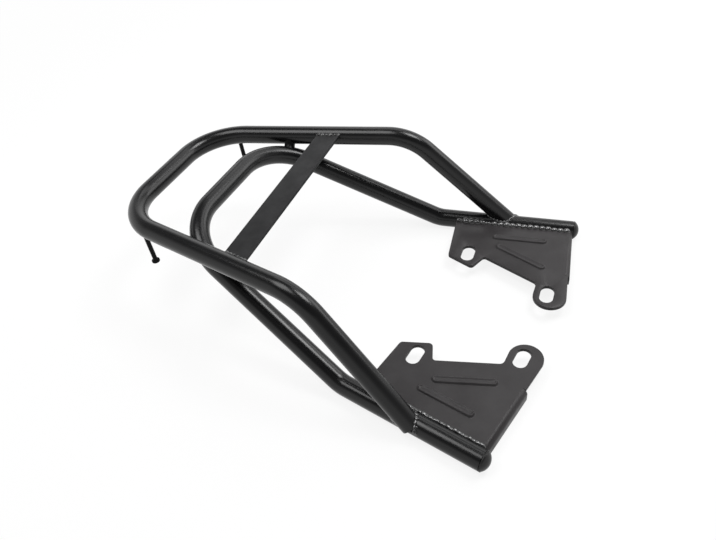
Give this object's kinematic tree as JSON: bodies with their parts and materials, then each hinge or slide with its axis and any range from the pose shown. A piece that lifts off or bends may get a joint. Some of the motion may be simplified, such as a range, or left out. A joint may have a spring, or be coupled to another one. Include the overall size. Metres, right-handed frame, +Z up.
{
  "type": "motorcycle luggage rack",
  "caption": "Rear luggage rack: an upper bent tube loop sloping onto a lower loop, a flat cross strap, ribbed mounting plates with slots, hook posts and end caps",
  "frame": {"origin": "midway between the two front mounting slots, on the underside of the mounting plates", "axes": "+X to the right of the motorcycle, +Y forward toward the mounting end, +Z up; the mounting plates lie level"},
  "size_m": [0.3212, 0.4223, 0.117],
  "materials": {
    "tube_coat": "satin",
    "strap_coat": "satin",
    "plate_coat": "matte",
    "post_coat": "satin",
    "weld_coat": "satin",
    "cap_plastic": "satin"
  },
  "bodies": {
    "root": {"upper_loop_tube": "tube_coat", "lower_loop_tube": "tube_coat", "cross_strap": "strap_coat", "right_mounting_plate": "plate_coat", "left_mounting_plate": "plate_coat", "right_hook_post": "post_coat", "left_hook_post": "post_coat", "right_loop_spacer": "post_coat", "left_loop_spacer": "post_coat", "right_end_cap": "cap_plastic", "left_end_cap": "cap_plastic", "right_plate_weld": "weld_coat", "left_plate_weld": "weld_coat", "right_rail_weld": "weld_coat", "left_rail_weld": "weld_coat", "right_strap_weld": "weld_coat", "left_strap_weld": "weld_coat"}
  },
  "joints": []
}
